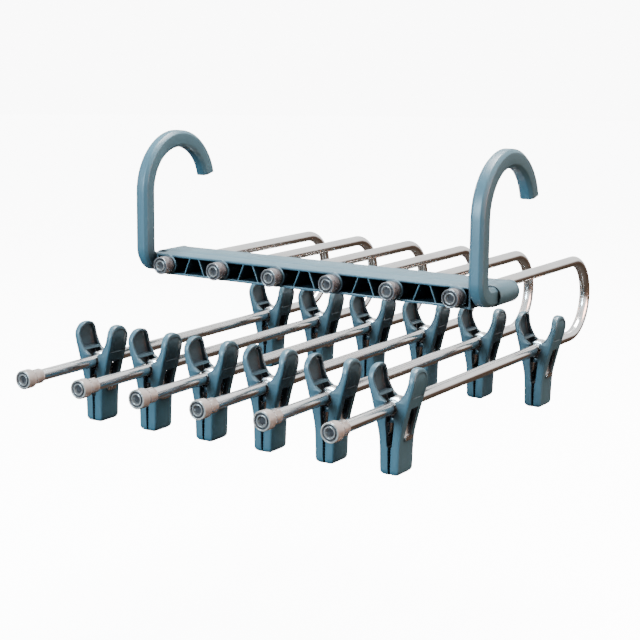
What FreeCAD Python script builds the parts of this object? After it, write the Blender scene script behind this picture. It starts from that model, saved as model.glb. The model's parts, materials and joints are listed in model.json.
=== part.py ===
import FreeCAD, Part
import math
import os

import Sketcher
from FreeCAD import Placement, Rotation, Vector

# Clip drying hanger: a moulded rail on two turning hooks carries six U-bent tubes, and each tube carries
# two spring clips. Millimetres. The origin is the centre of the closet rod that the hooks hang on:
# +X along the rod and the rail, +Y from the free ends of the tubes to their bends, +Z up.

ARMS = 6

SIZES = {
    # the rail and the places along it
    "arm_pitch": 42.0,
    "end_offset": 15.5,
    "rail_height": 13.2,
    "rail_front": 8.4,
    "rail_depth": 37.0,
    "rail_wall": 1.6,
    "rail_back_wall": 2.0,
    "barrel_length": 23.4,
    "barrel_tail": 3.0,
    "barrel_chamfer": 1.4,
    "end_gap": 0.9,
    "rib_thickness": 1.1,
    "rib_foot_share": 0.3,
    "rib_top_share": 0.41,
    # the bent tubes
    "tube_diameter": 7.0,
    "tube_wall": 0.6,
    "bend_radius": 25.5,
    "bend_start": 176.5,
    "free_end": 130.0,
    "bore_clearance": 0.08,
    # the round caps
    "cap_wall": 2.15,
    "cap_lip": 1.6,
    "cap_ring_depth": 0.6,
    "cap_eye_share": 0.52,
    "cap_groove_share": 0.66,
    "cap_ring_share": 0.78,
    "cap_front_length": 6.4,
    "cap_taper": 2.0,
    "cap_length": 14.7,
    "cap_tail_wall": 0.9,
    "cap_rail_gap": 0.5,
    # the hooks and their pivots
    "hook_width": 7.0,
    "hook_bevel": 1.9,
    "rod_room": 28.0,
    "arch_height": 46.0,
    "tip_angle": 14.0,
    "heel_radius": 5.0,
    "recess_depth": 4.0,
    "recess_wall": 0.8,
    "recess_clearance": 0.5,
    "foot_clearance": 0.6,
    "journal_diameter": 8.8,
    "journal_clearance": 0.06,
    "journal_length": 13.0,
    "partition": 2.5,
    "screw_diameter": 3.0,
    "screw_clearance": 0.3,
    "screw_head_diameter": 6.2,
    "screw_head_height": 1.9,
    "screw_slot": 0.9,
    "screw_slot_reach": 1.9,
    "screw_slot_depth": 1.1,
    "screw_bite": 9.0,
    "pilot_depth": 10.0,
    "end_float": 0.3,
    # the clips
    "clip_front": 59.0,
    "clip_back": 129.5,
    "clip_width": 17.0,
    "pad_top": 22.8,
    "pad_reach": 14.6,
    "pad_lean": 0.4,
    "pad_length": 8.0,
    "pad_depth": 3.9,
    "pad_rim": 1.8,
    "pad_round": 8.0,
    "shoulder_height": 4.2,
    "shoulder_reach": 12.0,
    "waist_reach": 8.7,
    "waist_drop": 8.4,
    "jaw_length": 38.2,
    "jaw_reach": 6.0,
    "jaw_round": 3.0,
    "jaw_taper": 0.8,
    "jaw_bend": 4.0,
    "jaw_gap": 0.6,
    "grip_length": 16.5,
    "grip_step": 1.1,
    "grip_slope": 0.5,
    "throat_step": 1.0,
    "throat_drop": 9.1,
    "hollow_floor": 0.8,
    "web_height": 6.2,
    "web_thickness": 1.2,
    "clip_skin": 1.4,
    "clip_flange": 2.2,
    "saddle_clearance": 0.3,
    "saddle_rise": 62.0,
    "cheek_height": 2.0,
    "cheek_reach": 6.3,
    "window_width": 8.0,
    "window_top": 0.4,
    "window_length": 18.5,
    "spring_thickness": 0.8,
    "spring_width": 6.6,
    "spring_clearance": 0.4,
    "spring_splay": 0.9,
    "spring_foot": 0.6,
    "spring_lip": 7.9,
}

doc = FreeCAD.newDocument("clip_drying_hanger")
sheet = doc.addObject("Spreadsheet::Sheet", "Sizes")
for row, (alias, number) in enumerate(SIZES.items(), start=1):
    sheet.set("A%d" % row, alias)
    sheet.set("B%d" % row, str(number))
    sheet.setAlias("B%d" % row, alias)
doc.recompute()


class Size:
    """A length that knows its value in millimetres and how it follows from the sheet's cells."""

    def __init__(self, value, text):
        self.value = float(value)
        self.text = text

    def __add__(self, other):
        other = size(other)
        return Size(self.value + other.value, "(%s + %s)" % (self.text, other.text))

    def __sub__(self, other):
        other = size(other)
        return Size(self.value - other.value, "(%s - %s)" % (self.text, other.text))

    def __mul__(self, other):
        other = size(other)
        return Size(self.value * other.value, "(%s * %s)" % (self.text, other.text))

    def __truediv__(self, other):
        other = size(other)
        return Size(self.value / other.value, "(%s / %s)" % (self.text, other.text))

    def __neg__(self):
        return Size(-self.value, "(0 - %s)" % self.text)


def size(what):
    """A Size from a sheet alias, a plain number or another Size."""
    if isinstance(what, Size):
        return what
    if isinstance(what, str):
        return Size(sheet.get(what), "Sizes.%s" % what)
    return Size(what, repr(float(what)))


def cosine(angle):
    return Size(math.cos(math.radians(angle.value)), "cos(%s)" % angle.text)


def sine(angle):
    return Size(math.sin(math.radians(angle.value)), "sin(%s)" % angle.text)


def sheet_sizes(*aliases):
    return [size(alias) for alias in aliases]


# Places that several pieces share.
PITCH, TUBE, FRONT, DEPTH = sheet_sizes("arm_pitch", "tube_diameter", "rail_front", "rail_depth")
TUBE_RADIUS = TUBE / 2
RAIL_BACK = FRONT + DEPTH
BARREL_FRONT = RAIL_BACK - size("barrel_length")
BARREL_RADIUS = size("rail_height") / 2
HOOK_X = PITCH * ((ARMS - 1) / 2) + size("end_offset")
SECTION = (BARREL_RADIUS - size("recess_wall") - size("foot_clearance")) * 2
HOOK_REACH = size("rod_room") + SECTION
BAR_DROP = size("bend_radius") * 2
FOOT_END = BARREL_FRONT + size("recess_depth") - size("recess_clearance")
JOURNAL_END = FOOT_END + size("journal_length")
PARTITION = JOURNAL_END + size("end_float")
SADDLE = TUBE_RADIUS + size("saddle_clearance")
CAP_RADIUS = TUBE_RADIUS + size("cap_wall")


def arm_x(index):
    """The place along the rail of one tube, counted from 0 at the left."""
    return PITCH * (index - (ARMS - 1) / 2)


# Building helpers -------------------------------------------------------------------------------------


def bind(item, prop, value):
    item.setExpression(prop, size(value).text)


def place(item, x=0, y=0, z=0):
    """Puts a sub-part, drawn about the rail's axis and the hooks' front face, where it belongs."""
    at = (size(x), size(y) - HOOK_REACH, size(z) - size("arch_height"))
    item.Placement = Placement(Vector(*[part.value for part in at]), Rotation())
    for axis, part in zip("xyz", at):
        bind(item, "Placement.Base.%s" % axis, part)


def new_body(label):
    body = doc.addObject("PartDesign::Body", label)
    body.Label = label
    return body


def new_sketch(body, name, plane, offset=0):
    """A sketch on one of the body's own planes, moved along that plane's normal by the offset."""
    base = [item for item in body.Origin.OriginFeatures if item.Role == plane][0]
    sketch = body.newObject("Sketcher::SketchObject", name)
    sketch.AttachmentSupport = [(base, "")]
    sketch.MapMode = "FlatFace"
    bind(sketch, "AttachmentOffset.Base.z", offset)
    return sketch


def hold(sketch, geometry, vertex, kind, value):
    """Holds one coordinate of a point of the sketch, from the sketch's origin."""
    index = sketch.addConstraint(Sketcher.Constraint(kind, -1, 1, geometry, vertex, value.value))
    sketch.setExpression("Constraints[%d]" % index, value.text)


def fix_point(sketch, geometry, vertex, x, y):
    hold(sketch, geometry, vertex, "DistanceX", x)
    hold(sketch, geometry, vertex, "DistanceY", y)


def circle(sketch, x, y, radius):
    x, y, radius = size(x), size(y), size(radius)
    centre = Vector(x.value, y.value, 0)
    index = sketch.addGeometry(Part.Circle(centre, Vector(0, 0, 1), radius.value))
    fix_point(sketch, index, 3, x, y)
    constraint = sketch.addConstraint(Sketcher.Constraint("Radius", index, radius.value))
    sketch.setExpression("Constraints[%d]" % constraint, radius.text)


def outline(sketch, points, closed=True):
    """Draws lines and arcs through points. A point is (x, y), or (x, y, cx, cy) where an arc round the
    centre cx, cy comes to it, or (x, y, cx, cy, tx, ty) where that arc is a half turn past tx, ty."""
    points = [tuple(size(number) for number in point) for point in points]
    count = len(points) if closed else len(points) - 1
    ends = []
    for step in range(count):
        here, there = points[step], points[(step + 1) % len(points)]
        start = Vector(here[0].value, here[1].value, 0)
        end = Vector(there[0].value, there[1].value, 0)
        if len(there) == 2:
            ends.append((sketch.addGeometry(Part.LineSegment(start, end)), 1, 2))
        else:
            ends.append(draw_arc(sketch, start, arc_middle(start, end, there), end))
        geometry = ends[-1][0]
        fix_point(sketch, geometry, ends[-1][1], *here[:2])
        if len(there) > 2:
            across = abs(end.x - start.x) < abs(end.y - start.y)
            hold(sketch, geometry, 3, "DistanceX" if across else "DistanceY", there[2 if across else 3])
    for step in range(count if closed else count - 1):
        geometry, _, last = ends[step]
        following, first, _ = ends[(step + 1) % count]
        sketch.addConstraint(Sketcher.Constraint("Coincident", geometry, last, following, first))
    if not closed:
        fix_point(sketch, ends[-1][0], ends[-1][2], *points[-1][:2])


def draw_arc(sketch, start, middle, end):
    """Adds an arc, which a sketch keeps anticlockwise, and tells which of its ends is the start."""
    if (middle - start).cross(end - middle).z > 0:
        return sketch.addGeometry(Part.Arc(start, middle, end)), 1, 2
    return sketch.addGeometry(Part.Arc(end, middle, start)), 2, 1


def arc_middle(start, end, point):
    """The point half-way along an arc."""
    if len(point) == 6:
        return Vector(point[4].value, point[5].value, 0)
    centre = Vector(point[2].value, point[3].value, 0)
    return centre + ((start + end) / 2 - centre).normalize() * (end - centre).Length


def rectangle(sketch, x0, x1, y0, y1):
    outline(sketch, [(x0, y0), (x1, y0), (x1, y1), (x0, y1)])


def mirrored(points, side):
    """The points of an outline, turned over to the other side of the vertical when side is -1."""
    return [
        tuple(size(value) * side if place % 2 == 0 else value for place, value in enumerate(point))
        for point in points
    ]


def extrude(body, kind, sketch, length=None, back=False):
    """A Pad or a Pocket of a sketch: a pad goes along its plane's normal and a pocket against it, or the
    other way when back is true. With no length it goes through everything."""
    before = body.Tip.Shape.Volume if body.Tip else 0.0
    feature = body.newObject("PartDesign::" + kind, kind)
    feature.Profile = sketch
    feature.Reversed = back
    if length is None:
        feature.Type = "ThroughAll"
    else:
        bind(feature, "Length", length)
    doc.recompute()
    grown = feature.Shape.Volume - before
    if (kind == "Pad") != (grown > 0.01) or abs(grown) < 0.01:
        raise RuntimeError("%s: %s of %s changes nothing" % (body.Label, kind, sketch.Label))
    return feature


def chamfer(body, wanted, amount):
    """A chamfer on those edges of the body for which wanted(edge) is true."""
    tip = body.Tip
    names = ["Edge%d" % (i + 1) for i, edge in enumerate(tip.Shape.Edges) if wanted(edge)]
    feature = body.newObject("PartDesign::Chamfer", "Chamfer")
    feature.Base = (tip, names)
    bind(feature, "Size", amount)
    doc.recompute()


def turned(body, points):
    """A solid turned round the body's Y axis from half a profile of (radius, y) points."""
    sketch = new_sketch(body, "half_profile", "XY_Plane")
    outline(sketch, points)
    feature = body.newObject("PartDesign::Revolution", "Revolution")
    feature.Profile = sketch
    feature.ReferenceAxis = (sketch, ["V_Axis"])
    feature.Angle = 360
    doc.recompute()


# The rail ----------------------------------------------------------------------------------------------


def make_rail():
    """A channel open to the front, with a boss for each tube, two slanting ribs in each bay, and a barrel
    across each end in which a hook turns."""
    body = new_body("rail")
    wall, half, back_wall = size("rail_wall"), BARREL_RADIUS, size("rail_back_wall")
    front_end = HOOK_X - SECTION / 2 - size("end_gap")

    sketch = new_sketch(body, "back_outline", "XZ_Plane", -BARREL_FRONT)
    outline(
        sketch,
        [
            (-HOOK_X, -half, -HOOK_X, 0, -HOOK_X - half, 0),
            (HOOK_X, -half),
            (HOOK_X, half, HOOK_X, 0, HOOK_X + half, 0),
            (-HOOK_X, half),
        ],
    )
    extrude(body, "Pad", sketch, size("barrel_length"), back=True)
    sketch = new_sketch(body, "barrel_tails", "XZ_Plane", -RAIL_BACK)
    for side in (-1, 1):
        circle(sketch, HOOK_X * side, 0, half)
    tail_end = RAIL_BACK + size("barrel_tail")
    extrude(body, "Pad", sketch, size("barrel_tail"), back=True)
    chamfer(body, lambda edge: edge.BoundBox.YMin > tail_end.value - 0.01, "barrel_chamfer")
    sketch = new_sketch(body, "front_outline", "XZ_Plane", -FRONT)
    rectangle(sketch, -front_end, front_end, -half, half)
    extrude(body, "Pad", sketch, DEPTH - size("barrel_length"), back=True)
    sketch = new_sketch(body, "channel", "XZ_Plane", -FRONT)
    rectangle(sketch, -front_end + wall, front_end - wall, -half + wall, half - wall)
    extrude(body, "Pocket", sketch, DEPTH - back_wall)

    sketch = new_sketch(body, "bosses", "XZ_Plane", -FRONT)
    for index in range(ARMS):
        circle(sketch, arm_x(index), 0, half)
    extrude(body, "Pad", sketch, DEPTH, back=True)
    sketch = new_sketch(body, "ribs", "XZ_Plane", -FRONT)
    foot, top = PITCH * size("rib_foot_share"), PITCH * size("rib_top_share")
    thick, bite = size("rib_thickness"), half - wall / 2
    for index in range(ARMS - 1):
        for side, base in ((1, arm_x(index)), (-1, arm_x(index + 1))):
            rib = [(foot, -bite), (foot + thick, -bite), (top + thick, bite), (top, bite)]
            outline(sketch, [(base + x * side, z) for x, z in rib])
    extrude(body, "Pad", sketch, DEPTH - back_wall / 2, back=True)
    sketch = new_sketch(body, "tube_bores", "XZ_Plane", -FRONT)
    for index in range(ARMS):
        circle(sketch, arm_x(index), 0, TUBE_RADIUS + size("bore_clearance"))
    extrude(body, "Pocket", sketch)

    journal, screw, head = sheet_sizes("journal_diameter", "screw_diameter", "screw_head_diameter")
    cuts = (
        ("recesses", half - size("recess_wall"), BARREL_FRONT, size("recess_depth")),
        ("journal_bores", journal / 2 + size("journal_clearance"), BARREL_FRONT, PARTITION - BARREL_FRONT),
        ("screw_holes", screw / 2 + size("screw_clearance"), BARREL_FRONT, DEPTH),
        ("head_pockets", head / 2 + size("screw_clearance"), PARTITION + size("partition"), DEPTH),
    )
    for name, radius, start, length in cuts:
        sketch = new_sketch(body, name, "XZ_Plane", -start)
        for side in (-1, 1):
            circle(sketch, HOOK_X * side, 0, radius)
        extrude(body, "Pocket", sketch, length)
    place(body)


# The hooks ---------------------------------------------------------------------------------------------


def make_hook(name, side):
    """A cane-shaped hook: a shaft, a round arch for the rod, and a foot that turns in the barrel."""
    body = new_body("hook_" + name)
    inner, heel, rise, tip = sheet_sizes("rod_room", "heel_radius", "arch_height", "tip_angle")
    half, outer = SECTION / 2, HOOK_REACH
    heel_y, heel_z = heel + SECTION, heel + half
    sketch = new_sketch(body, "side_view", "YZ_Plane", -size("hook_width") / 2)
    outline(
        sketch,
        [
            (FOOT_END, -half),
            (FOOT_END, half),
            (heel_y, half),
            (SECTION, heel_z, heel_y, heel_z),
            (SECTION, rise),
            (outer, rise + inner, outer, rise),
            (outer + inner * cosine(tip), rise + inner * sine(tip), outer, rise),
            (outer + outer * cosine(tip), rise + outer * sine(tip)),
            (outer, rise + outer, outer, rise),
            (0, rise, outer, rise),
            (0, heel_z),
            (heel_y, -half, heel_y, heel_z),
        ],
    )
    extrude(body, "Pad", sketch, size("hook_width"))

    def runs_along(edge):
        """True for the long edges of the two flat sides, but not round the tip or the foot's end."""
        box = edge.BoundBox
        at_tip = edge.CenterOfMass.y > outer.value and edge.Curve.TypeId == "Part::GeomLine"
        at_foot = box.YMin > FOOT_END.value - 0.01
        return box.XLength < 0.01 and not at_tip and not at_foot

    chamfer(body, runs_along, "hook_bevel")
    sketch = new_sketch(body, "journal", "XZ_Plane", -FOOT_END)
    circle(sketch, 0, 0, size("journal_diameter") / 2)
    extrude(body, "Pad", sketch, size("journal_length"), back=True)
    sketch = new_sketch(body, "pilot_hole", "XZ_Plane", -JOURNAL_END + size("pilot_depth"))
    circle(sketch, 0, 0, size("screw_diameter") / 2)
    extrude(body, "Pocket", sketch, size("pilot_depth"))
    place(body, HOOK_X * side)


def make_pivot_screw(name, side):
    """The screw that holds a hook's journal to the barrel's partition; its head is in the back pocket."""
    body = new_body("pivot_screw_" + name)
    shank, head = size("screw_diameter") / 2, size("screw_head_diameter") / 2
    point = JOURNAL_END - size("screw_bite")
    seat = PARTITION + size("partition") + size("end_float")
    top = seat + size("screw_head_height")
    turned(body, [(0, point), (shank, point), (shank, seat), (head, seat), (head, top), (0, top)])
    sketch = new_sketch(body, "cross", "XZ_Plane", -top)
    arm_end, half = size("screw_slot_reach"), size("screw_slot") / 2
    quarter = [(arm_end, -half), (arm_end, half), (half, half)]
    outline(sketch, [spin(corner, turns) for turns in range(4) for corner in quarter])
    extrude(body, "Pocket", sketch, size("screw_slot_depth"), back=True)
    place(body, HOOK_X * side)


def spin(point, turns):
    """A point after quarter turns round the origin."""
    x, y = point
    for _ in range(turns):
        x, y = -y, x
    return x, y


# The tubes and their caps ------------------------------------------------------------------------------


def make_arm(index):
    """One steel tube: an upper leg through the rail, a half-round bend, and a longer lower leg."""
    body = new_body("arm_%d" % (index + 1))
    bend, start, lip = sheet_sizes("bend_radius", "bend_start", "cap_lip")
    path = new_sketch(body, "path", "YZ_Plane")
    outline(
        path,
        [
            (lip, 0),
            (start, 0),
            (start, -BAR_DROP, start, -bend, start + bend, -bend),
            (lip - size("free_end"), -BAR_DROP),
        ],
        closed=False,
    )
    section = new_sketch(body, "section", "XZ_Plane", -lip)
    circle(section, 0, 0, TUBE_RADIUS)
    circle(section, 0, 0, TUBE_RADIUS - size("tube_wall"))
    doc.recompute()
    pipe = body.newObject("PartDesign::AdditivePipe", "tube")
    pipe.Profile = section
    pipe.Spine = (path, [])
    doc.recompute()
    place(body, arm_x(index))


def cap_profile(front, length, tail_radius=None):
    """Half a profile of a round cap with a ringed front face, bored as far as its lip for the tube."""
    ring, lip = size("cap_ring_depth"), size("cap_lip")
    eye, groove, outer_ring = [
        CAP_RADIUS * size(share) for share in ("cap_eye_share", "cap_groove_share", "cap_ring_share")
    ]
    points = [
        (0, ring),
        (eye, ring),
        (eye, 0),
        (groove, 0),
        (groove, ring),
        (outer_ring, ring),
        (outer_ring, 0),
        (CAP_RADIUS - ring, 0),
        (CAP_RADIUS, ring),
        (CAP_RADIUS, front),
    ]
    if tail_radius:
        points += [(tail_radius, front + size("cap_taper")), (tail_radius, length)]
    return points + [(TUBE_RADIUS, length), (TUBE_RADIUS, lip), (0, lip)]


def make_rail_cap(index):
    """The cap on a tube's upper end, which stands in front of the rail's boss."""
    body = new_body("rail_cap_%d" % (index + 1))
    length = FRONT - size("cap_rail_gap")
    turned(body, cap_profile(length, length))
    place(body, arm_x(index))


def make_bar_cap(index):
    """The cap on the free end of a tube's lower leg, with a tapered tail."""
    body = new_body("bar_cap_%d" % (index + 1))
    tail = TUBE_RADIUS + size("cap_tail_wall")
    turned(body, cap_profile(size("cap_front_length"), size("cap_length"), tail))
    place(body, arm_x(index), -size("free_end"), -BAR_DROP)


# The clips ---------------------------------------------------------------------------------------------


def make_jaw(label, x, y, side):
    """One half of a clip, drawn round the tube's axis: thumb pad, saddle on the tube, straight jaw. It is
    a channel that opens towards the other half, with a window for the spring's foot."""
    body = new_body(label)
    gap, width, bottom = size("jaw_gap") / 2, size("clip_width"), -size("jaw_length")
    top, reach, pad, lean = sheet_sizes("pad_top", "pad_reach", "pad_depth", "pad_lean")
    shoulder, shoulder_x, waist = sheet_sizes("shoulder_height", "shoulder_reach", "waist_reach")
    jaw_x, rounding, step, cheek = sheet_sizes("jaw_reach", "jaw_round", "grip_step", "cheek_height")
    grip_top, pad_low = bottom + size("grip_length"), top - size("pad_length")
    saddle_x, saddle_z = SADDLE * cosine(size("saddle_rise")), SADDLE * sine(size("saddle_rise"))
    cheek_x = size("cheek_reach")
    back_line = [
        (jaw_x + size("jaw_taper"), grip_top + size("jaw_bend")),
        (waist, -size("waist_drop")),
        (shoulder_x, shoulder),
        (reach, pad_low),
        (reach - lean, top),
    ]
    profile = [
        (gap, bottom),
        (jaw_x - rounding, bottom),
        (jaw_x, bottom + rounding, jaw_x - rounding, bottom + rounding),
        *back_line,
        (reach - pad, top),
        (reach - pad, pad_low),
        (cheek_x, SADDLE + cheek),
        (saddle_x, saddle_z),
        (saddle_x, -saddle_z, 0, 0, SADDLE, 0),
        (saddle_x, -SADDLE - cheek),
        (gap + step + size("throat_step"), -size("throat_drop")),
        (gap + step, grip_top),
        (gap, grip_top - size("grip_slope")),
    ]
    sketch = new_sketch(body, "side_view", "XZ_Plane", -width / 2)
    outline(sketch, mirrored(profile, side))
    extrude(body, "Pad", sketch, width)

    skin, flange = sheet_sizes("clip_skin", "clip_flange")
    floor, rim = grip_top + size("hollow_floor"), top - size("pad_rim")
    hollow = [
        (0, floor),
        (jaw_x - skin, floor),
        *[(x - skin, z) for x, z in back_line[:-1]],
        (reach - lean - skin, rim),
        (0, rim),
    ]
    sketch = new_sketch(body, "channel", "XZ_Plane", -width / 2 + flange)
    outline(sketch, mirrored(hollow, side))
    extrude(body, "Pocket", sketch, width - flange * 2, back=True)
    sketch = new_sketch(body, "web", "XZ_Plane", -width / 2 + flange / 2)
    web_in, web_out = cheek_x + step, shoulder_x - skin / 2
    web_low, web_high = size("web_height"), size("web_height") + size("web_thickness")
    web = [(web_in, web_low), (web_out, web_low), (web_out, web_high), (web_in, web_high)]
    outline(sketch, mirrored(web, side))
    extrude(body, "Pad", sketch, width - flange)

    sketch = new_sketch(body, "window", "YZ_Plane")
    half_window, window_top = size("window_width") / 2, size("window_top")
    rectangle(sketch, -half_window, half_window, window_top - size("window_length"), window_top)
    extrude(body, "Pocket", sketch, back=side > 0)

    sketch = new_sketch(body, "round_corners", "YZ_Plane")
    for z, radius, up in ((top, size("pad_round"), 1), (bottom, rounding, -1)):
        for across in (-1, 1):
            edge = width / 2 * across
            inside, low = edge - radius * across, z - radius * up
            outline(
                sketch,
                [
                    (inside, z, inside, low),
                    (inside, z + up),
                    (edge + across, z + up),
                    (edge + across, low),
                    (edge, low),
                ],
            )
    extrude(body, "Pocket", sketch, back=side > 0)
    place(body, x, y, -BAR_DROP)


def make_spring(label, x, y):
    """The flat spring of a clip: an arch over the tube, with a leg down each half to its window."""
    body = new_body(label)
    thick, width, lip = sheet_sizes("spring_thickness", "spring_width", "spring_lip")
    inner = TUBE_RADIUS + size("spring_clearance")
    outer, knee = inner + thick, inner + size("spring_splay")
    foot = size("window_top") - size("window_length") + size("spring_foot")
    right = [
        (inner, 0),
        (knee, foot + thick),
        (lip, foot),
        (lip, foot + thick),
        (knee + thick, foot + thick * 2),
        (outer, 0),
    ]
    left = mirrored(list(reversed(right)), -1)
    over = [(-outer, 0, 0, 0, 0, outer)]
    under = [(inner, 0, 0, 0, 0, inner)]
    sketch = new_sketch(body, "end_view", "XZ_Plane", -width / 2)
    outline(sketch, under + right[1:] + over + left[1:])
    extrude(body, "Pad", sketch, width)
    place(body, x, y, -BAR_DROP)


# The assembly ------------------------------------------------------------------------------------------

make_rail()
for side_name, side in (("left", -1), ("right", 1)):
    make_hook(side_name, side)
    make_pivot_screw(side_name, side)
for arm in range(ARMS):
    make_arm(arm)
    make_rail_cap(arm)
    make_bar_cap(arm)
for row_name, clip_y in (("front", -size("clip_front")), ("back", size("clip_back"))):
    for arm in range(ARMS):
        clip = "%s_clip_%d_" % (row_name, arm + 1)
        make_spring(clip + "spring", arm_x(arm), clip_y)
        make_jaw(clip + "left_jaw", arm_x(arm), clip_y, -1)
        make_jaw(clip + "right_jaw", arm_x(arm), clip_y, 1)

doc.recompute()
bodies = [item for item in doc.Objects if item.TypeId == "PartDesign::Body"]
for item in doc.Objects:
    if "Invalid" in item.State or "Error" in item.State:
        raise RuntimeError("%s (%s) is not valid: %s" % (item.Label, item.Name, item.State))
for body in bodies:
    if body.Shape.isNull() or not body.Shape.isValid() or not body.Shape.Solids:
        raise RuntimeError("%s has no valid shape" % body.Label)

os.makedirs("parts", exist_ok=True)
for body in bodies:
    body.Shape.exportStep("parts/%s.step" % body.Label)
print("%d parts written" % len(bodies))
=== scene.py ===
import json
import math

import bmesh
import bpy
from mathutils import Matrix, Vector

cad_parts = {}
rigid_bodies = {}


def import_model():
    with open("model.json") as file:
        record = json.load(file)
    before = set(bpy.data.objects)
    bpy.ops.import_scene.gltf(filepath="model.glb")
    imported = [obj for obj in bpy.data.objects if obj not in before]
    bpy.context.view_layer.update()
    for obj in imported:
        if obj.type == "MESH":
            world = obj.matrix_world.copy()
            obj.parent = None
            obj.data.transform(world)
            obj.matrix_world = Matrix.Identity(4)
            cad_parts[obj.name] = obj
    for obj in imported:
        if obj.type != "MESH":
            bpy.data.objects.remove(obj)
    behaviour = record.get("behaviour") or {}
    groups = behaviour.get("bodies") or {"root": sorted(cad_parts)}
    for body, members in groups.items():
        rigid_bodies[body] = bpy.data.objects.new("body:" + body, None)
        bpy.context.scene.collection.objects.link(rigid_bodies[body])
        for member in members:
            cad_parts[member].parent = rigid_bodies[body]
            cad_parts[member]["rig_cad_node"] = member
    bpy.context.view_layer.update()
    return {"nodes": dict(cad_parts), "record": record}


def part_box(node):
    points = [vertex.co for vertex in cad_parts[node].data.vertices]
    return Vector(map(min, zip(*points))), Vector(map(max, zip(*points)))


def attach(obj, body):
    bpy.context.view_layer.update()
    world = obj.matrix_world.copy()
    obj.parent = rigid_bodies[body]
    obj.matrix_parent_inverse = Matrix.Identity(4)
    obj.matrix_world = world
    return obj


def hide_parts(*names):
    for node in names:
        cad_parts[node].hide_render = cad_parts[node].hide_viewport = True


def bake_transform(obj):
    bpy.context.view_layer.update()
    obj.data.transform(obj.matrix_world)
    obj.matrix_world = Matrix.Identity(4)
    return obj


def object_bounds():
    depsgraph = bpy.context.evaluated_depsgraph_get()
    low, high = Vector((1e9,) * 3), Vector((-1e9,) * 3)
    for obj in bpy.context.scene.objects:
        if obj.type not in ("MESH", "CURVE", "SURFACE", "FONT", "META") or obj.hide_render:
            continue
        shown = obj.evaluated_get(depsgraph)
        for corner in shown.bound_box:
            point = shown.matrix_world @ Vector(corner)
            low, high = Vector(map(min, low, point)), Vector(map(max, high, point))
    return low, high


# Looks for the clip drying hanger. Lengths are millimetres in the row frame unless a name says otherwise,
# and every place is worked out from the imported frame.

MM = 0.001
ARMS = 6
ROWS = ("front", "back")

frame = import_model()


def node_box(node):
    """Lowest and highest corner of a CAD node in millimetres."""
    low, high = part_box(node)
    return low / MM, high / MM


def middle(node):
    low, high = node_box(node)
    return (low + high) / 2


# Materials -------------------------------------------------------------------------------------------


class Shade:
    """A node material that is put together step by step."""

    def __init__(self, name):
        self.material = bpy.data.materials.new(name)
        self.material.use_nodes = True
        self.nodes = self.material.node_tree.nodes
        self.links = self.material.node_tree.links
        self.shader = self.nodes["Principled BSDF"]

    def node(self, kind, **values):
        made = self.nodes.new("ShaderNode" + kind)
        for key, value in values.items():
            if key in made.inputs:
                made.inputs[key].default_value = value
            else:
                setattr(made, key, value)
        return made

    def link(self, output, target):
        self.links.new(output, target)

    def set(self, **values):
        for key, value in values.items():
            self.shader.inputs[key.replace("_", " ")].default_value = value

    def noise(self, scale, detail=2.0, stretch=(1, 1, 1)):
        """Noise on the object's own coordinates, in features per metre."""
        place = self.node("TexCoord")
        mapping = self.node("Mapping")
        mapping.inputs["Scale"].default_value = stretch
        self.link(place.outputs["Object"], mapping.inputs["Vector"])
        made = self.node("TexNoise", Scale=scale, Detail=detail)
        self.link(mapping.outputs["Vector"], made.inputs["Vector"])
        return made.outputs["Fac"]

    def spread(self, value, low, high):
        """The value's middle range mapped to low..high."""
        made = self.node("MapRange")
        for key, number in (("From Min", 0.3), ("From Max", 0.7), ("To Min", low), ("To Max", high)):
            made.inputs[key].default_value = number
        self.link(value, made.inputs["Value"])
        return made.outputs["Result"]

    def tones(self, value, dark, light):
        made = self.node("Mix", data_type="RGBA")
        made.inputs[6].default_value = (*dark, 1)
        made.inputs[7].default_value = (*light, 1)
        self.link(value, made.inputs["Factor"])
        self.link(made.outputs[2], self.shader.inputs["Base Color"])

    def paint_hollow_shade(self, distance, dark, power=1.6):
        """Painted shade: darkens the base colour where the surface is closed in, through an ambient occlusion
        term.
        """
        around = self.node("AmbientOcclusion", samples=8, Distance=distance)
        curve = self.node("Math", operation="POWER")
        self.link(around.outputs["AO"], curve.inputs[0])
        curve.inputs[1].default_value = power
        made = self.node("Mix", data_type="RGBA")
        made.inputs[6].default_value = (*dark, 1)
        base = self.shader.inputs["Base Color"].links[0].from_socket
        self.link(base, made.inputs[7])
        self.link(curve.outputs[0], made.inputs["Factor"])
        self.link(made.outputs[2], self.shader.inputs["Base Color"])

    def bump(self, value, strength, distance):
        made = self.node("Bump", Strength=strength, Distance=distance)
        self.link(value, made.inputs["Height"])
        self.link(made.outputs["Normal"], self.shader.inputs["Normal"])


def teal_plastic():
    """Satin moulded polypropylene with a fine grain and faint flow marks, and painted shade darkening its
    hollows.
    """
    shade = Shade("teal_plastic")
    flow = shade.noise(38.0, 3.0, (1, 1, 0.35))
    shade.tones(shade.spread(flow, 0.0, 1.0), (0.027, 0.071, 0.095), (0.036, 0.088, 0.115))
    # Painted shade: the base colour is darkened where the surface is closed in, such as the pad hollows and the
    # rail's pockets.
    shade.paint_hollow_shade(0.026, (0.002, 0.006, 0.009), 3.0)
    grain = shade.noise(2600.0, 2.0)
    shade.link(shade.spread(grain, 0.34, 0.46), shade.shader.inputs["Roughness"])
    shade.bump(grain, 0.10, 0.00006)
    shade.set(IOR=1.5)
    return shade.material


def tube_steel():
    """Polished stainless tube with fine drawing lines along it."""
    shade = Shade("tube_steel")
    lines = shade.noise(900.0, 2.0, (1, 0.02, 1))
    cloud = shade.noise(45.0, 2.0)
    shade.tones(shade.spread(cloud, 0.0, 1.0), (0.80, 0.775, 0.75), (0.88, 0.865, 0.845))
    shade.link(shade.spread(lines, 0.12, 0.24), shade.shader.inputs["Roughness"])
    shade.bump(lines, 0.06, 0.00004)
    shade.set(Metallic=1.0)
    return shade.material


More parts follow.
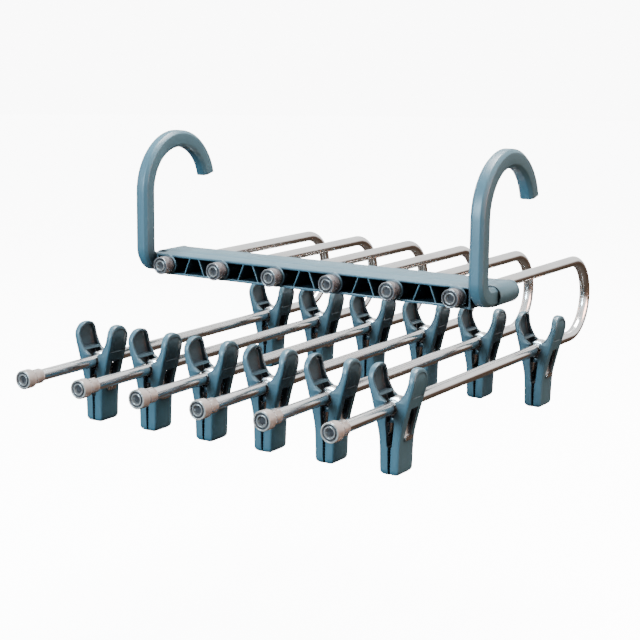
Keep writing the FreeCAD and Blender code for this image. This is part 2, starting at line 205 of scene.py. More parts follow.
def cap_plastic(name, dark, light):
    """Moulded cap of smoky translucent plastic with faint flow lines, a glossy skin and painted shade in its
    small hollows.
    """
    shade = Shade(name)
    cloud = shade.noise(240.0, 2.0)
    shade.tones(shade.spread(cloud, 0.0, 1.0), dark, light)
    # Painted shade: the base colour is darkened where the cap's surface is closed in.
    shade.paint_hollow_shade(0.004, tuple(value * 0.15 for value in dark))
    shade.link(shade.spread(cloud, 0.05, 0.12), shade.shader.inputs["Roughness"])
    shade.bump(cloud, 0.12, 0.0002)
    shade.set(Transmission_Weight=0.25, IOR=1.49, Coat_Weight=0.7)
    return shade.material


def spring_steel():
    """Bright flat spring strip, rolled lengthwise."""
    shade = Shade("spring_steel")
    lines = shade.noise(1500.0, 2.0, (0.1, 1, 0.1))
    shade.tones(shade.spread(lines, 0.0, 1.0), (0.74, 0.74, 0.73), (0.9, 0.9, 0.89))
    shade.link(shade.spread(lines, 0.14, 0.3), shade.shader.inputs["Roughness"])
    shade.bump(lines, 0.08, 0.00004)
    shade.set(Metallic=1.0)
    return shade.material


def screw_steel():
    """Zinc plated screw with a cloudy passivated tone."""
    shade = Shade("screw_steel")
    cloud = shade.noise(500.0, 3.0)
    shade.tones(shade.spread(cloud, 0.0, 1.0), (0.45, 0.46, 0.47), (0.62, 0.62, 0.6))
    shade.link(shade.spread(cloud, 0.28, 0.45), shade.shader.inputs["Roughness"])
    shade.bump(cloud, 0.15, 0.0001)
    shade.set(Metallic=1.0)
    return shade.material


def cap_shadow():
    """The dark depth inside a cap's ring and eye, seen through smoky plastic."""
    shade = Shade("cap_shadow")
    cloud = shade.noise(300.0, 2.0)
    shade.tones(shade.spread(cloud, 0.0, 1.0), (0.018, 0.018, 0.02), (0.05, 0.048, 0.05))
    shade.link(shade.spread(cloud, 0.08, 0.2), shade.shader.inputs["Roughness"])
    shade.set(Coat_Weight=0.6)
    return shade.material


MATERIALS = {
    "cap_ring": cap_plastic("cap_ring", (0.16, 0.15, 0.145), (0.22, 0.205, 0.2)),
    "cap_shadow": cap_shadow(),
    "teal_plastic": teal_plastic(),
    "tube_steel": tube_steel(),
    "clear_plastic": cap_plastic("clear_plastic", (0.25, 0.225, 0.205), (0.34, 0.31, 0.285)),
    "smoky_plastic": cap_plastic("smoky_plastic", (0.085, 0.078, 0.08), (0.13, 0.12, 0.122)),
    "spring_steel": spring_steel(),
    "screw_steel": screw_steel(),
}


def paint(item, slot):
    item.data.materials.clear()
    item.data.materials.append(MATERIALS[slot])


SLOTS = {row["node"]: row["material_slot"] for row in frame["record"]["subparts"]}
for name, item in frame["nodes"].items():
    paint(item, SLOTS[name])


# Mesh helpers ------------------------------------------------------------------------------------------


def add_piece(name, mesh, slot, body, *nodes):
    """Shows a mesh whose points are millimetres in the row frame, riding on a body in place of nodes."""
    item = bpy.data.objects.new(name, mesh)
    bpy.context.scene.collection.objects.link(item)
    if not mesh.materials:
        mesh.materials.append(MATERIALS[slot])
    if body:
        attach(item, body)
    if nodes:
        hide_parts(*nodes)
    return item


def to_mesh(name, points, faces, crease=35.0):
    """A smooth-shaded mesh in metres, with doubled points merged and edges above the crease kept sharp."""
    build = bmesh.new()
    made = [build.verts.new(Vector(point) * MM) for point in points]
    for face in faces:
        build.faces.new([made[index] for index in face])
    bmesh.ops.remove_doubles(build, verts=build.verts, dist=0.002 * MM)
    bmesh.ops.dissolve_degenerate(build, edges=build.edges, dist=0.001 * MM)
    bmesh.ops.recalc_face_normals(build, faces=build.faces)
    mesh = bpy.data.meshes.new(name)
    build.to_mesh(mesh)
    build.free()
    mesh.shade_smooth()
    mesh.set_sharp_from_angle(angle=math.radians(crease))
    return mesh


def merged(parts):
    """Several (points, faces) pairs as one."""
    points, faces = [], []
    for more_points, more_faces in parts:
        start = len(points)
        points += more_points
        faces += [[index + start for index in face] for face in more_faces]
    return points, faces


def skin(rings, closed_ends=True):
    """Quads between neighbouring rings of points, with a face across each end."""
    count = len(rings[0])
    points = [point for ring in rings for point in ring]
    faces = []
    for start in range(0, (len(rings) - 1) * count, count):
        for here in range(count):
            ahead = (here + 1) % count
            faces.append((start + here, start + ahead, start + count + ahead, start + count + here))
    if closed_ends:
        faces.append(tuple(range(count)))
        faces.append(tuple(range((len(rings) - 1) * count, len(rings) * count)))
    return points, faces


def arc(centre, radius, start, end, steps):
    """Points of a flat arc from one angle to another, in degrees."""
    return [
        (
            centre[0] + radius * math.cos(math.radians(start + (end - start) * step / steps)),
            centre[1] + radius * math.sin(math.radians(start + (end - start) * step / steps)),
        )
        for step in range(steps + 1)
    ]


def rounded(corners, radius, steps=4):
    """A closed outline through corners, each rounded with the radius."""
    made = []
    for place, corner in enumerate(corners):
        here = Vector(corner)
        before = (Vector(corners[place - 1]) - here).normalized()
        after = (Vector(corners[(place + 1) % len(corners)]) - here).normalized()
        half = math.acos(max(-1.0, min(1.0, before.dot(after)))) / 2
        reach = radius / math.tan(half)
        centre = here + (before + after).normalized() * (radius / math.sin(half))
        first, last = here + before * reach - centre, here + after * reach - centre
        for step in range(steps + 1):
            share = step / steps
            made.append(tuple(centre + first.slerp(last, share)))
    return made


def lathe(profile, centre, turns=48):
    """Points and faces of a (radius, y) profile turned round the line along Y through the centre."""
    rings = []
    for radius, y in profile:
        ring = []
        for step in range(turns):
            angle = 2 * math.pi * step / turns
            ring.append((centre[0] + radius * math.cos(angle), y, centre[2] + radius * math.sin(angle)))
        rings.append(ring)
    return skin(rings)


def sweep(path, section, x):
    """Carries a section of (across, out) points along a path of (y, z, dy, dz) stations in the plane x."""
    rings = []
    for y, z, dy, dz in path:
        rings.append([(x + across, y - dz * out, z + dy * out) for across, out in section])
    return skin(rings)


def stations(*stretches):
    """Path stations from straight runs ((y, z), (y, z)) and arcs (centre, radius, start, end) in degrees."""
    made = []
    for stretch in stretches:
        if len(stretch) == 2:
            start, end = Vector(stretch[0]), Vector(stretch[1])
            count = max(2, round((end - start).length / 12))
            along = (end - start).normalized()
            spots = [(*start.lerp(end, step / count), *along) for step in range(count + 1)]
        else:
            centre, radius, first, last = stretch
            count = max(8, round(abs(last - first) / 4))
            sense = 1 if last > first else -1
            spots = []
            for step in range(count + 1):
                angle = math.radians(first + (last - first) * step / count)
                along = (-math.sin(angle) * sense, math.cos(angle) * sense)
                spot = (centre[0] + radius * math.cos(angle), centre[1] + radius * math.sin(angle))
                spots.append((*spot, *along))
        made += spots[1:] if made else spots
    return made


def smooth_line(points, value):
    """Height of a smooth curve through (place, height) points, which are in order of place."""
    for number in range(len(points) - 1):
        (z0, x0), (z1, x1) = points[number], points[number + 1]
        if value <= z1 or number == len(points) - 2:
            break
    before = points[max(number - 1, 0)]
    after = points[min(number + 2, len(points) - 1)]
    share = max(0.0, min(1.0, (value - z0) / (z1 - z0)))
    slope0 = (x1 - before[1]) / (z1 - before[0]) * (z1 - z0)
    slope1 = (after[1] - x0) / (after[0] - z0) * (z1 - z0)
    s2, s3 = share * share, share**3
    starting = (2 * s3 - 3 * s2 + 1) * x0 + (s3 - 2 * s2 + share) * slope0
    return starting + (3 * s2 - 2 * s3) * x1 + (s3 - s2) * slope1


def straight_line(points, value):
    for (z0, x0), (z1, x1) in zip(points, points[1:]):
        if value <= z1:
            return x0 + (x1 - x0) * max(0.0, value - z0) / max(z1 - z0, 1e-9)
    return points[-1][1]


# The tubes, caps, hooks --------------------------------------------------------------------------------

TUBE = (node_box("arm_1")[1] - node_box("arm_1")[0]).x
TUBE_RADIUS = TUBE / 2


def make_tube(number):
    """One steel tube as a smooth sweep: upper leg, half-round bend, longer lower leg."""
    node = "arm_%d" % number
    low, high = node_box(node)
    upper, lower = high.z - TUBE_RADIUS, low.z + TUBE_RADIUS
    bend = (upper - lower) / 2
    bend_y = high.y - TUBE_RADIUS - bend
    upper_end = node_box("rail_cap_%d" % number)[0].y + low.y - node_box("bar_cap_%d" % number)[0].y
    path = stations(
        ((upper_end, upper), (bend_y, upper)),
        ((bend_y, (upper + lower) / 2), bend, 90, -90),
        ((bend_y, lower), (low.y, lower)),
    )
    section = arc((0, 0), TUBE_RADIUS, 0, 352.5, 47)
    mesh = to_mesh(node + "_tube", *sweep(path, section, (low.x + high.x) / 2))
    add_piece(node + "_tube", mesh, "tube_steel", node, node)


def make_cap(node, body, tail):
    """A cap with a ringed face and a dark eye; a bar's cap is lighter and tapers to a tail behind."""
    low, high = node_box(node)
    centre, radius, front, back = (low + high) / 2, (high.x - low.x) / 2, low.y, high.y
    eye, groove, ring, edge, depth = 0.5 * radius, 0.62 * radius, 0.8 * radius, 0.55, 0.6
    profile = [
        (0.01, front + 1.5),
        (eye * 0.72, front + 1.35),
        (eye * 0.9, front + 0.5),
        (eye * 0.96, front + 0.12),
        (eye * 1.04, front),
        (groove - 0.2, front + 0.02),
        (groove, front + 0.16),
        (groove + 0.12, front + depth),
        (ring - 0.15, front + depth),
        (ring, front + 0.2),
        (ring + 0.2, front),
        (radius - edge, front),
    ]
    profile += [(x, front - y) for x, y in arc((radius - edge, -edge), edge, 90, 0, 5)]
    if tail:
        tail_radius = TUBE_RADIUS + 0.9
        profile += [(radius, front + 5.6), (radius - 0.1, front + 6.2), (radius - 0.45, front + 6.8)]
        profile += [(tail_radius + 0.25, front + 8.2), (tail_radius, front + 9.2), (tail_radius, back - 0.4)]
        profile += [(tail_radius - 0.15, back - 0.1), (tail_radius - 0.35, back)]
    else:
        profile += [(radius, back - 0.5), (radius - 0.15, back - 0.12), (radius - 0.4, back)]
    profile += [(TUBE_RADIUS + 0.02, back), (TUBE_RADIUS + 0.02, front + 1.6), (0.01, front + 1.6)]
    mesh = to_mesh(node + "_moulding", *lathe(profile, centre), crease=50)
    plastic = "clear_plastic" if tail else "smoky_plastic"
    for slot in (plastic, "cap_shadow", "cap_ring"):
        mesh.materials.append(MATERIALS[slot])
    for face in mesh.polygons:
        spot = face.center / MM
        away = math.hypot(spot.x - centre.x, spot.z - centre.z)
        if spot.y < front + 2.0 and away < ring - 0.3:
            face.material_index = 2 if eye * 0.8 < away < groove - 0.1 else 1
    add_piece(node + "_moulding", mesh, "clear_plastic", body, node)


def make_hook(side):
    """A cane-shaped hook with a bevelled section, and its foot in the barrel."""
    node = "hook_" + side
    low, high = node_box(node)
    width, reach = high.x - low.x, high.z
    room = 28.0
    deep = reach - room
    half, rise, heel = deep / 2, 46.0, 5.0
    bevel, tip_angle, foot = 1.9, 14.0, 25.5
    front, axis_z = -reach, -rise
    heel_y, heel_z = front + heel + deep, axis_z + heel + half
    path = stations(
        ((front + foot, axis_z), (heel_y, axis_z)),
        ((heel_y, heel_z), heel + half, -90, -180),
        ((front + half, heel_z), (front + half, 0.0)),
        ((0.0, 0.0), room + half, 180, tip_angle),
    )
    flat, tall = width / 2, half
    corners = [
        (flat, -tall + bevel),
        (flat, tall - bevel),
        (flat - bevel, tall),
        (bevel - flat, tall),
        (-flat, tall - bevel),
        (-flat, bevel - tall),
        (bevel - flat, -tall),
        (flat - bevel, -tall),
    ]
    section = rounded(corners, 0.7, 3)
    rings = sweep(path, section, (low.x + high.x) / 2)
    mesh = to_mesh(node + "_cane", *rings, crease=30)
    add_piece(node + "_cane", mesh, "teal_plastic", node, node)


for arm in range(1, ARMS + 1):
    make_tube(arm)
    make_cap("rail_cap_%d" % arm, "arm_%d" % arm, tail=False)
    make_cap("bar_cap_%d" % arm, "arm_%d" % arm, tail=True)
for hook_side in ("left", "right"):
    make_hook(hook_side)


# The clips ---------------------------------------------------------------------------------------------


class Jaw:
    """Measures of one clip half about its tube's axis: x outwards, y along the tube, z up."""

    half_width, top, bottom = 8.5, 22.8, -38.2
    gap, grip_top, step = 0.3, -21.7, 1.4
    saddle = 4.2
    pad_round, foot_round = 8.0, 3.0
    edge, rim, corner = 1.3, 0.55, 0.7
    skin, flange, pad_flange = 1.4, 2.2, 1.7
    window, window_top, window_low = 4.0, 0.4, -18.1
    back = [(-35.2, 6.0), (-17.7, 6.8), (-8.4, 8.7), (4.2, 12.0), (14.8, 14.6), (22.8, 14.2)]
    throat = [(-21.7, 1.4), (-9.1, 2.6), (-5.8, 2.4), (-3.4, 2.5)]
    cheek = [(3.4, 2.5), (5.8, 6.3), (14.8, 10.7), (22.8, 10.3)]
    web, web_top = 6.2, 7.4
    panel_low, panel_high, panel_edge, panel_depth = 6.6, 20.4, 2.0, 0.4

    tooth_pitch, tooth_depth, grip_wedge = 1.6, 0.35, 0.35

    @classmethod
    def outer(cls, z):
        low = cls.bottom + cls.foot_round
        if z < low:
            drop = low - z
            return cls.back[0][1] - cls.foot_round + math.sqrt(max(0.0, cls.foot_round**2 - drop * drop))
        return smooth_line(cls.back, z)

    @classmethod
    def inner(cls, z):
        if z < cls.grip_top - 0.5:
            share = (z - cls.bottom) / cls.tooth_pitch
            tooth = abs(share - round(share)) * 2
            rise = (z - cls.bottom) / (cls.grip_top - cls.bottom)
            return cls.gap + cls.grip_wedge * rise + cls.tooth_depth * tooth
        if z < cls.throat[0][0]:
            return cls.step
        if z <= cls.throat[-1][0]:
            return straight_line(cls.throat, z)
        if z <= cls.cheek[0][0]:
            return math.sqrt(cls.saddle**2 - z * z)
        return smooth_line(cls.cheek, z)

    @classmethod
    def width(cls, z, shrink=0.0):
        """Half the width at a height, or that of a line the shrink inside the outline."""
        high, low = cls.top - cls.pad_round, cls.bottom + cls.foot_round
        if z > high:
            radius = cls.pad_round - shrink
            return cls.half_width - cls.pad_round + math.sqrt(max(0.0, radius**2 - (z - high) ** 2))
        if z < low:
            across = math.sqrt(max(0.0, cls.foot_round**2 - (low - z) ** 2))
            return cls.half_width - cls.foot_round + across - shrink
        return cls.half_width - shrink


def jaw_heights():
    """Every height at which the jaw has a row of points, with how deep its hollow is there (0 or 1)."""
    solid, hollow = [], []
    low = Jaw.bottom + Jaw.foot_round
    solid += [low - Jaw.foot_round * math.cos(math.radians(step * 15)) for step in range(6)]
    teeth = round((Jaw.grip_top - 0.5 - Jaw.bottom) / Jaw.tooth_pitch * 2)
    for tooth in range(1, teeth + 1):
        z = Jaw.bottom + tooth * Jaw.tooth_pitch / 2
        if z > low and z < Jaw.grip_top - 0.5:
            solid.append(z)
    solid += [Jaw.grip_top - 0.51, Jaw.grip_top, Jaw.grip_top + 0.4]
    floor = Jaw.grip_top + 0.8
    hollow += [floor, floor + 0.5, Jaw.window_low, Jaw.window_top]
    hollow += [Jaw.window_low + (Jaw.window_top - Jaw.window_low) * step / 9 for step in range(1, 9)]
    hollow += [-9.1, -5.8, 5.8, Jaw.panel_low, Jaw.panel_low - 0.5, Jaw.web, Jaw.web_top]
    hollow += [Jaw.saddle * math.sin(math.radians(step * 12.4)) for step in range(-5, 6)]
    high = Jaw.top - Jaw.pad_round
    hollow += [5.8 + (high - 5.8) * step / 6 for step in range(1, 7)]
    reach = Jaw.pad_round - Jaw.pad_flange
    hollow += [high + reach * math.sin(math.radians(step * 9)) for step in range(1, 11)]
    tip = [high + Jaw.pad_round * math.sin(math.radians(step)) for step in (56, 60, 65, 70, 75, 80, 85, 90)]
    last = high + reach
    rows = [(z, 0) for z in sorted(solid)] + [(floor - 0.01, 0)]
    for z in sorted(set(round(z, 4) for z in hollow)):
        if z == Jaw.web:
            rows += [(z, 1), (z + 0.01, 0)]
        elif z == Jaw.web_top:
            rows += [(z - 0.01, 0), (z, 1)]
        else:
            rows.append((z, 0 if Jaw.web < z < Jaw.web_top else 1))
    rows += [(last + 0.02, 0)] + [(z, 0) for z in tip if z > last + 0.1]
    return rows


def jaw_ring(z, deep):
    """One row of points round the jaw, as (x, y): the back, a side, a rim, the hollow, and the other side."""
    width, outer, inner = Jaw.width(z), Jaw.outer(z), Jaw.inner(z)
    for end, sense in ((Jaw.top, 1), (Jaw.bottom, -1)):
        near = (end - z) * sense
        if near < Jaw.edge and sense > 0:
            outer -= Jaw.edge - math.sqrt(max(0.0, Jaw.edge**2 - (Jaw.edge - near) ** 2))
            inner += min(Jaw.rim, Jaw.rim - math.sqrt(max(0.0, Jaw.rim**2 - max(0.0, Jaw.rim - near) ** 2)))
    flange = Jaw.pad_flange if z > 5.8 else Jaw.flange
    hollow_half = max(0.02, Jaw.width(z, flange))
    floor = outer - Jaw.skin if deep else inner
    edge = min(Jaw.edge, width * 0.9, (outer - inner) * 0.6)
    rim = min(Jaw.rim, (width - hollow_half) * 0.45, (outer - inner) * 0.3)
    corner = min(Jaw.corner, hollow_half * 0.5, (floor - inner) * 0.5) if deep else 0.0
    lip = rim if deep else 0.0
    flat = width - edge
    panel = z > Jaw.panel_low - 0.01
    wide = Jaw.window
    if panel:
        reach = Jaw.panel_high - (Jaw.top - Jaw.pad_round)
        height = max(0.0, z - (Jaw.top - Jaw.pad_round))
        wide = max(0.02, math.sqrt(max(0.0, reach**2 - height**2)) + Jaw.half_width - Jaw.panel_edge - reach)
    rim_y = wide + 0.5
    columns = [-rim_y, -wide, -wide / 2, 0.0, wide / 2, wide, rim_y]
    columns = [-flat] + [max(-flat, min(flat, y)) for y in columns] + [flat]
    back = []
    for place, y in enumerate(columns):
        sunk = panel and z < Jaw.panel_high and 1 < place < 7
        back.append((outer - (Jaw.panel_depth if sunk else 0.0), y))
    side = arc((outer - edge, width - edge), edge, 0, 90, 4)[1:]
    side += arc((inner + rim, width - rim), rim, 90, 180, 3)
    side += arc((inner + lip, hollow_half + lip), lip, 180, 270, 3)
    side += arc((floor - corner, hollow_half - corner), corner, 90, 0, 3)
    deepest = hollow_half - corner
    inside = [(floor, max(-deepest, min(deepest, y))) for y in reversed(columns[1:-1])]
    other = [(x, -y) for x, y in reversed(side)]
    return back + side + inside + other, len(back), len(side)


def jaw_mesh(name, sense):
    """One clip half about the origin, opened to the left or the right, with its window cut through."""
    rows = jaw_heights()
    rings, back, side = [], 0, 0
    for z, deep in rows:
        ring, back, side = jaw_ring(z, deep)
        rings.append([(x * sense, y, z) for x, y in ring])
    points, faces = skin(rings)
    count = len(rings[0])
    inside = back + side
    holes = set()
    for row, (z, deep) in enumerate(rows[:-1]):
        if Jaw.window_low - 0.01 < z < Jaw.window_top - 0.01:
            holes |= {row * count + column for column in range(2, 6)}
            holes |= {row * count + inside + column for column in range(1, 5)}
    first = min(row for row, (z, _) in enumerate(rows) if z > Jaw.window_low - 0.01)
    last = max(row for row, (z, _) in enumerate(rows) if z < Jaw.window_top + 0.01)
    faces = [face for face in faces if len(face) > 4 or face[0] not in holes]
    for row in range(first, last):
        for outer, inner in ((2, inside + 5), (6, inside + 1)):
            a, b = row * count, (row + 1) * count
            faces.append((a + outer, b + outer, b + inner, a + inner))
    for row in (first, last):
        for column in range(4):
            start = row * count
            outer, inner = start + 2 + column, start + inside + 5 - column
            faces.append((outer, outer + 1, inner - 1, inner))
    parts = [(points, faces)]
    if sense < 0:
        end = [(0.01, -5.2), (1.1, -5.2), (1.5, -4.9), (1.6, -4.5)]
        knuckle = end + [(radius, -y) for radius, y in reversed(end)]
        parts.append(lathe(knuckle, (-0.1, 0.0, -7.2), 20))
        web = rounded([(-3.0, -8.2), (-0.6, -8.2), (-0.6, -6.2), (-3.0, -6.2)], 0.3, 2)
        parts.append(skin([[(x, y, z) for x, z in web] for y in (-4.9, 4.9)]))
    return to_mesh(name, *merged(parts), crease=40)


def spring_mesh(name, centre):
    """The flat spring strip: an arch over the tube, a leg down each half, and a foot in each window."""
    thick, half_width, lip = 0.8, 3.3, 7.9
    radius = TUBE_RADIUS + 0.4 + thick / 2
    foot = Jaw.window_low + 1.0
    knee = radius + 0.7
    right = [(radius, 0.0), (radius + 0.5, foot * 0.4), (knee, foot + 2.2), (knee + 0.35, foot + 0.9)]
    right += [(knee + 1.0, foot + 0.25), (lip, foot)]
    line = [(-x, z) for x, z in reversed(right)] + arc((0, 0), radius, 180, 0, 20)[1:-1] + right
    corners = [(y * half_width, depth * thick / 2) for y, depth in ((-1, -1), (1, -1), (1, 1), (-1, 1))]
    section = rounded(corners, 0.2, 2)
    rings = []
    for place, spot in enumerate(line):
        ahead = Vector(line[min(place + 1, len(line) - 1)]) - Vector(line[max(place - 1, 0)])
        along = ahead.normalized()
        out = Vector((-along.y, along.x))
        ring = []
        for y, depth in section:
            away = Vector(spot) + out * depth
            ring.append((centre.x + away.x, centre.y + y, centre.z + away.y))
        rings.append(ring)
    return to_mesh(name, *skin(rings), crease=40)


JAWS = {"left": jaw_mesh("clip_left_half", -1), "right": jaw_mesh("clip_right_half", 1)}
for jaw in JAWS.values():
    jaw.materials.append(MATERIALS["teal_plastic"])


def make_clip(clip, arm):
    """Two moulded halves and their spring strip, where the frame's clip is."""
    place = middle(clip + "_left_jaw")
    place.x = middle(arm).x
    place.z = node_box(arm)[0].z + TUBE_RADIUS
    for half in ("left", "right"):
        node = "%s_%s_jaw" % (clip, half)
        item = bpy.data.objects.new("%s_%s_half" % (clip, half), JAWS[half])
        item.location = place * MM
        bpy.context.scene.collection.objects.link(item)
        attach(item, "%s_%s" % (clip, half))
        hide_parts(node)
    mesh = spring_mesh(clip + "_strip", place)
    strip = add_piece(clip + "_strip", mesh, "spring_steel", None, clip + "_spring")
    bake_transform(strip)


for row_name in ROWS:
    for arm in range(1, ARMS + 1):
        make_clip("%s_clip_%d" % (row_name, arm), "arm_%d" % arm)

# The rail ----------------------------------------------------------------------------------------------


class Rail:
    """Measures of the rail in the row frame; its axis is level with the hooks' feet."""

    low, high = node_box("rail")
    half = (high.z - low.z) / 2
    level = (high.z + low.z) / 2
    front, tail = low.y, high.y
    back = tail - 3.0
    barrel_front = back - 23.4
    hook_x = middle("hook_right").x
    end = hook_x - 6.1
    wall, back_wall = 1.6, 2.0
    bore = TUBE_RADIUS + 0.08


def four_corners(centre_x, centre_z, radius):
    """A ring of points round the rail: a quarter circle at each of four mirrored centres."""
    ring = []
    for turn, (sx, sz) in enumerate(((1, 1), (-1, 1), (-1, -1), (1, -1))):
        centre = (centre_x * sx, Rail.level + centre_z * sz)
        ring += arc(centre, radius, turn * 90, turn * 90 + 90, 12)
    return ring


def box_ring(x, z, radius):
    return four_corners(x - radius, z - radius, radius)


def rail_shell():
    """The channel and the blocks of its barrels in one skin, from the back round the lip to the floor."""
    rings = []

    def station(y, ring):
        rings.append([(x, y, z) for x, z in ring])

    for inset, y in ((0.3, 0.0), (0.09, 0.09), (0.0, 0.3)):
        station(Rail.back - y, four_corners(Rail.hook_x, 0.0, Rail.half - inset))
    for inset, y in ((0.0, 0.5), (0.14, 0.14), (0.5, 0.0)):
        station(Rail.barrel_front + y, four_corners(Rail.hook_x, 0.0, Rail.half - inset))
    station(Rail.barrel_front, box_ring(Rail.end, Rail.half, 0.6))
    for inset, y in ((0.0, 0.45), (0.13, 0.13), (0.45, 0.0)):
        station(Rail.front + y, box_ring(Rail.end - inset, Rail.half - inset, 0.7 - inset))
    inner_x, inner_z = Rail.end - Rail.wall, Rail.half - Rail.wall
    for inset, y in ((0.3, 0.0), (0.09, 0.09), (0.0, 0.3)):
        station(Rail.front + y, box_ring(inner_x + inset, inner_z + inset, 0.5 + inset))
    floor = Rail.back - Rail.back_wall
    for inset, y in ((0.0, 0.8), (0.23, 0.23), (0.8, 0.0)):
        station(floor - y, box_ring(inner_x - inset, inner_z - inset, 1.0))
    return skin(rings)


def rail_rib(base, sense):
    """One slanting rib between the plates, with a rounded front edge."""
    pitch = middle("arm_2").x - middle("arm_1").x
    foot, top, thick, bite = pitch * 0.3, pitch * 0.41, 1.1, Rail.half - Rail.wall + 0.5
    rings = []
    ends = [(Rail.front + 0.1, 0.25), (Rail.front + 0.2, 0.08), (Rail.front + 0.4, 0.0)]
    ends.append((Rail.back - 1.0, 0.0))
    for y, inset in ends:
        below = ((foot + inset, -bite), (foot + thick - inset, -bite))
        corners = (*below, (top + thick - inset, bite), (top + inset, bite))
        rings.append([(base + x * sense, y, Rail.level + z) for x, z in corners])
    return skin(rings)


def rail_boss(x):
    """The sleeve that a tube turns in, with a low round collar in front."""
    collar, front = Rail.half + 0.15, Rail.front - 0.2
    profile = [(Rail.bore, front + 1.0), (Rail.bore, front + 0.3), (Rail.bore + 0.3, front)]
    profile += [(collar - 0.4, front), (collar - 0.12, front + 0.12), (collar, front + 0.4)]
    profile += [(collar, front + 1.3), (Rail.half - 0.12, front + 1.7), (Rail.half - 0.12, Rail.back - 1.0)]
    profile += [(Rail.bore, Rail.back - 1.0), (Rail.bore, front + 1.0)]
    return lathe(profile, (x, 0.0, Rail.level), 48)


def barrel_tail(x):
    """The rounded back end of a barrel, open in the middle for the screw's head."""
    bore, start, end = 3.4, Rail.back - 0.2, Rail.tail
    rounding = 1.4
    profile = [(bore, start), (bore, end - 0.3), (bore + 0.3, end)]
    profile += [(r, y) for r, y in arc((Rail.half - rounding, end - rounding), rounding, 90, 0, 6)]
    profile += [(Rail.half, start), (bore, start)]
    return lathe(profile, (x, 0.0, Rail.level), 64)


def carve(item, cutters):
    """Cuts solids out of a piece and keeps the result as its mesh."""
    for cutter in cutters:
        cut = item.modifiers.new("cut", "BOOLEAN")
        cut.operation, cut.solver, cut.object = "DIFFERENCE", "EXACT", cutter
    bpy.context.view_layer.update()
    result = bpy.data.meshes.new_from_object(item.evaluated_get(bpy.context.evaluated_depsgraph_get()))
    item.modifiers.clear()
    item.data = result
    for cutter in cutters:
        bpy.data.objects.remove(cutter)


def make_rail():
    """The rail's shell with its barrels hollowed, and the bosses, ribs and barrel tails inside and behind it."""
    shell = to_mesh("rail_shell", *rail_shell(), crease=35)
    shell.materials.append(MATERIALS["teal_plastic"])
    item = bpy.data.objects.new("rail_shell", shell)
    bpy.context.scene.collection.objects.link(item)
    cutters = []
    for side in (-1, 1):
        x = Rail.hook_x * side
        recess, mouth, pocket = Rail.half - 0.8, Rail.barrel_front - 1, Rail.back - 4.1
        shapes = (
            [(0.01, mouth), (recess, mouth), (recess, Rail.barrel_front + 4.0)],
            [(0.01, pocket), (3.4, pocket), (3.4, Rail.back + 1)],
        )
        for profile in shapes:
            closed = profile + [(0.01, profile[-1][1])]
            cutter = bpy.data.objects.new("cutter", to_mesh("cutter", *lathe(closed, (x, 0, Rail.level), 64)))
            bpy.context.scene.collection.objects.link(cutter)
            cutters.append(cutter)
    carve(item, cutters)
    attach(item, "rail")
    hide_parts("rail")
    places = [middle("arm_%d" % arm).x for arm in range(1, ARMS + 1)]
    parts = [rail_boss(x) for x in places] + [barrel_tail(Rail.hook_x * side) for side in (-1, 1)]
    for base, following in zip(places, places[1:]):
        parts += [rail_rib(base, 1), rail_rib(following, -1)]
    inside = to_mesh("rail_inside", *merged(parts), crease=40)
    add_piece("rail_inside", inside, "teal_plastic", "rail", "rail")


make_rail()


# Studio ------------------------------------------------------------------------------------------------


def emitter(name, place, size_m, power, colour, target=(0.0, 0.02, -0.06)):
    lamp = bpy.data.lights.new(name, "AREA")
    lamp.shape = "RECTANGLE"
    lamp.size, lamp.size_y = size_m
    lamp.energy = power
    lamp.color = colour
    item = bpy.data.objects.new(name, lamp)
    item.location = place
    aim = Vector(target) - Vector(place)
    item.rotation_euler = aim.to_track_quat("-Z", "Y").to_euler()
    bpy.context.scene.collection.objects.link(item)


def make_camera():
    """The photograph's viewpoint, found by fitting a camera to the object's straight lines."""
    lens_mm, heading, tilt, roll = 87.10, 32.03, 10.81, 0.64
    place = Vector((0.5071, -0.8213, 0.1083))
    data = bpy.data.cameras.new("camera")
    data.lens, data.sensor_width = lens_mm, 36.0
    data.clip_start, data.clip_end = 0.05, 50.0
    camera = bpy.data.objects.new("camera", data)
    turn = Matrix.Rotation(math.radians(heading), 4, "Z")
    turn = turn @ Matrix.Rotation(math.radians(90 - tilt), 4, "X")
    turn = turn @ Matrix.Rotation(math.radians(roll), 4, "Z")
    camera.matrix_world = Matrix.Translation(place) @ turn
    bpy.context.scene.collection.objects.link(camera)
    bpy.context.scene.camera = camera


def backdrop(name, points, faces, strength):
    """A glowing white surface that only the camera and clear parts see."""
    mesh = bpy.data.meshes.new(name)
    mesh.from_pydata(points, [], faces)
    item = bpy.data.objects.new(name, mesh)
    shade = Shade(name)
    cloud = shade.noise(2.0, 2.0)
    shade.tones(shade.spread(cloud, 0.0, 1.0), (0.86, 0.86, 0.86), (0.88, 0.88, 0.88))
    shade.set(Roughness=0.9, Emission_Color=(1.0, 1.0, 1.0, 1.0), Emission_Strength=strength)
    mesh.materials.append(shade.material)
    item.visible_diffuse = False
    item.visible_glossy = False
    item.visible_shadow = False
    bpy.context.scene.collection.objects.link(item)


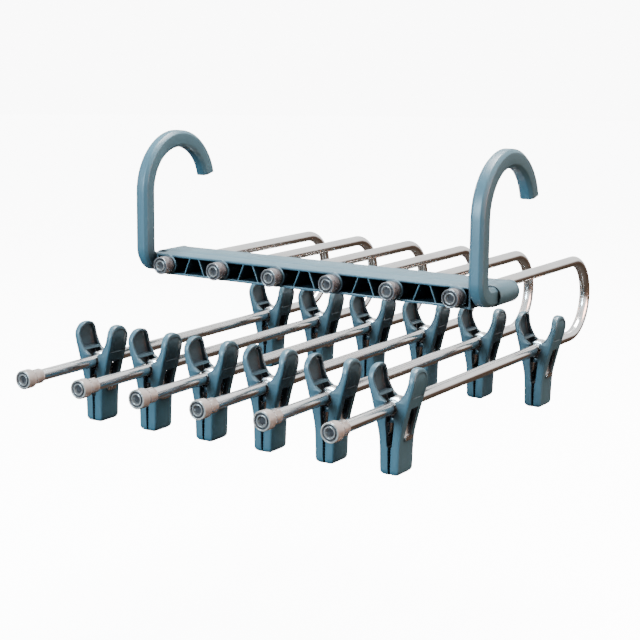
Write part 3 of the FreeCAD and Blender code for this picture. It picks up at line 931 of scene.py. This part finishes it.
def make_world():
    """Soft light from above and a warm dark band below, which the tubes mirror along their undersides."""
    world = bpy.data.worlds.new("studio")
    world.use_nodes = True
    nodes, links = world.node_tree.nodes, world.node_tree.links
    place = nodes.new("ShaderNodeTexCoord")
    split = nodes.new("ShaderNodeSeparateXYZ")
    ramp = nodes.new("ShaderNodeValToRGB")
    shift = nodes.new("ShaderNodeMapRange")
    shift.inputs["From Min"].default_value = -1.0
    shift.inputs["From Max"].default_value = 1.0
    stops = (
        (0.0, (0.10, 0.085, 0.075)),
        (0.30, (0.05, 0.035, 0.025)),
        (0.44, (0.09, 0.055, 0.04)),
        (0.5, (0.55, 0.55, 0.55)),
        (0.56, (1.0, 1.0, 1.0)),
        (1.0, (0.8, 0.86, 0.9)),
    )
    while len(ramp.color_ramp.elements) < len(stops):
        ramp.color_ramp.elements.new(0.5)
    for element, (spot, colour) in zip(ramp.color_ramp.elements, stops):
        element.position = spot
        element.color = (*colour, 1)
    links.new(place.outputs["Generated"], split.inputs["Vector"])
    links.new(split.outputs["Z"], shift.inputs["Value"])
    links.new(shift.outputs["Result"], ramp.inputs["Fac"])
    links.new(ramp.outputs["Color"], nodes["Background"].inputs["Color"])
    nodes["Background"].inputs["Strength"].default_value = 1.5
    bpy.context.scene.world = world


def make_studio():
    make_world()
    reach, level = 6.0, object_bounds()[0].z - 0.14
    floor = [(-reach, -reach, level), (reach, -reach, level), (reach, reach, level), (-reach, reach, level)]
    backdrop("floor", floor, [(0, 1, 2, 3)], 9.0)
    rings = []
    for height in (level - 0.01, 1.0, 2.5, 4.0, 5.0):
        wide = math.sqrt(max(0.0, 36.0 - height * height)) * 0.95
        rings.append([(x, y, height) for x, y in arc((0, 0), wide, 0, 352.5, 47)])
    backdrop("sky", *skin(rings, closed_ends=False), 9.0)
    emitter("key", (-0.35, -1.3, 0.30), (0.5, 0.5), 46.0, (0.55, 0.82, 1.0))
    emitter("top", (0.0, 0.35, 1.2), (0.8, 0.8), 85.0, (1.0, 1.0, 1.0))
    emitter("side", (1.2, 0.1, 0.25), (0.6, 0.6), 17.0, (1.0, 0.50, 0.33))


make_camera()
make_studio()
